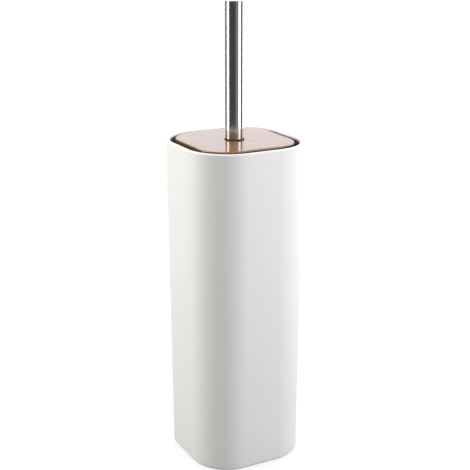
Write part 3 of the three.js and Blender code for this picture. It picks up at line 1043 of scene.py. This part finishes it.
def studio_world():
    """White all round to look at. The light it gives is bright overhead and dim near the horizon."""
    world = bpy.data.worlds.new("Studio")
    bpy.context.scene.world = world
    world.use_nodes = True
    nodes, links = world.node_tree.nodes, world.node_tree.links
    nodes.clear()
    way = nodes.new("ShaderNodeTexCoord")
    upwards = nodes.new("ShaderNodeSeparateXYZ")
    links.new(way.outputs["Generated"], upwards.inputs[0])

    def ramp(kind, start, stop, below, above):
        made = nodes.new("ShaderNodeMapRange")
        made.interpolation_type = kind
        for key, value in {"From Min": start, "From Max": stop, "To Min": below, "To Max": above}.items():
            made.inputs[key].default_value = value
        links.new(upwards.outputs["Z"], made.inputs["Value"])
        return made.outputs["Result"]

    strength = nodes.new("ShaderNodeMath")
    strength.operation = "MULTIPLY"
    links.new(ramp("SMOOTHSTEP", 0.2, 0.62, LOW_ROOM_LIGHT, ROOM_LIGHT), strength.inputs[0])
    links.new(ramp("LINEAR", 0.68, 0.9, 1.0, ZENITH_SHARE), strength.inputs[1])
    lit = nodes.new("ShaderNodeBackground")
    links.new(strength.outputs[0], lit.inputs["Strength"])
    seen = nodes.new("ShaderNodeBackground")
    seen.inputs["Color"].default_value = (1.0, 1.0, 1.0, 1.0)
    path = nodes.new("ShaderNodeLightPath")
    choose = nodes.new("ShaderNodeMixShader")
    links.new(path.outputs["Is Camera Ray"], choose.inputs[0])
    links.new(lit.outputs[0], choose.inputs[1])
    links.new(seen.outputs[0], choose.inputs[2])
    out = nodes.new("ShaderNodeOutputWorld")
    links.new(choose.outputs[0], out.inputs["Surface"])


def build_floor():
    """A wide white floor: it takes the object's soft shadow and fades to plain white further away."""
    bm = bmesh.new()
    bmesh.ops.create_circle(bm, cap_ends=True, segments=96, radius=14.0)
    mesh = bpy.data.meshes.new("studio_floor")
    bm.to_mesh(mesh)
    bm.free()
    floor = bpy.data.objects.new("studio_floor", mesh)
    bpy.context.scene.collection.objects.link(floor)
    m = Finish("Pale floor", Roughness=0.9)
    m.shader.inputs["Base Color"].default_value = (0.8, 0.8, 0.795, 1.0)
    where = m.node("ShaderNodeTexCoord", output="Object")
    away = m.node("ShaderNodeVectorMath", {"operation": "LENGTH"}, {0: where}, "Value")
    glow = m.node("ShaderNodeEmission", None, {"Strength": 1.04}, "Emission")
    bounce = m.node("ShaderNodeBsdfDiffuse", None, {"Color": (0.1, 0.1, 0.1, 1.0)}, "BSDF")
    fade = away.stepped(0.05, 0.5) * 0.25 + 0.75
    seen = m.node("ShaderNodeMixShader", None, [fade, Socket(m, m.shader.outputs[0]), glow])
    camera_ray = m.node("ShaderNodeLightPath", output="Is Camera Ray")
    shown = m.node("ShaderNodeMixShader", None, [camera_ray, bounce, seen])
    m.links.new(shown.socket, m.nodes["Material Output"].inputs["Surface"])
    mesh.materials.append(m.data)


def build_camera(studio):
    rim = high("outer_shell")
    data = bpy.data.cameras.new("Camera")
    data.sensor_width = 36.0
    data.lens = studio.lens
    data.shift_x, data.shift_y = studio.shift_x, studio.shift_y
    data.clip_start, data.clip_end = 0.01, 60.0
    camera = bpy.data.objects.new("Camera", data)
    turn = studio.azimuth
    x, y = math.sin(turn) * studio.distance, -math.cos(turn) * studio.distance
    camera.location = (x, y, rim + studio.above_rim)
    camera.rotation_euler = (math.pi / 2 - studio.pitch, 0.0, turn)
    bpy.context.scene.collection.objects.link(camera)
    bpy.context.scene.camera = camera


class BRUSHSET_OT_stage(bpy.types.Operator):
    """Set up the floor, the soft lights and the camera"""

    bl_idname = "brushset.stage"
    bl_label = "Stage"

    def execute(self, context):
        studio = context.scene.brush_set_studio
        context.scene.view_settings.view_transform = "Standard"
        build_floor()
        build_camera(studio)
        studio_world()

        def around(degrees, away, up):
            """A place at an angle to the left (negative) or right of the camera, as seen from the object."""
            turn = studio.azimuth + math.radians(degrees)
            return (math.sin(turn) * away, -math.cos(turn) * away, up)

        warm, cool = (1.0, 0.99, 0.965), (0.985, 0.99, 1.02)
        # Name, degrees round from the camera, width in metres, watts, tint
        low_panels = (
            ("Left reflector", -122, 0.30, 0.42, warm),
            ("Left softbox", -86, 0.28, 4.0, warm),
            ("Front right reflector", 30, 0.36, 0.22, cool),
            ("Right softbox", 67.5, 0.34, 3.6, cool),
            ("Right rim light", 134, 0.32, 2.6, cool),
        )
        away, middle, tall = 0.65, 0.46, 0.9
        for name, degrees, width, power, tint in low_panels:
            soft_light(name, around(degrees, away, middle), (0.0, 0.0, middle), width, tall, power, tint)
        wall_place, wall_target, wall_tint = around(180, 1.2, 0.74), (0.0, 0.0, 0.3), (0.95, 0.98, 1.05)
        soft_light("Back wall", wall_place, wall_target, 1.3, tall, 5.5, wall_tint)
        return {"FINISHED"}


# ---- Panel and registration ----

PIECES = (
    BRUSHSET_OT_holder,
    BRUSHSET_OT_feet,
    BRUSHSET_OT_cup,
    BRUSHSET_OT_lid,
    BRUSHSET_OT_handle,
    BRUSHSET_OT_head,
    BRUSHSET_OT_fasteners,
    BRUSHSET_OT_bristles,
    BRUSHSET_OT_stage,
)


class BRUSHSET_PT_panel(bpy.types.Panel):
    """Lists the pieces of the set"""

    bl_label = "Brush Set"
    bl_space_type = "VIEW_3D"
    bl_region_type = "UI"
    bl_category = "Brush Set"

    def draw(self, context):
        for piece in PIECES:
            self.layout.operator(piece.bl_idname)
        for group_name in GROUPS:
            group = getattr(context.scene, group_name)
            box = self.layout.box()
            for name in group.bl_rna.properties.keys():
                if name not in ("rna_type", "name"):
                    box.prop(group, name)


GROUPS = {
    "brush_set_sizes": BrushSetSizes,
    "brush_set_colours": BrushSetColours,
    "brush_set_studio": BrushSetStudio,
}


def register():
    for cls in (*GROUPS.values(), *PIECES, BRUSHSET_PT_panel):
        bpy.utils.register_class(cls)
    for name, cls in GROUPS.items():
        setattr(bpy.types.Scene, name, PointerProperty(type=cls))


def unregister():
    for name in GROUPS:
        delattr(bpy.types.Scene, name)
    for cls in reversed((*GROUPS.values(), *PIECES, BRUSHSET_PT_panel)):
        bpy.utils.unregister_class(cls)


def main():
    register()
    for piece in PIECES:
        group, name = piece.bl_idname.split(".")
        getattr(getattr(bpy.ops, group), name)()


if __name__ == "__main__":
    main()
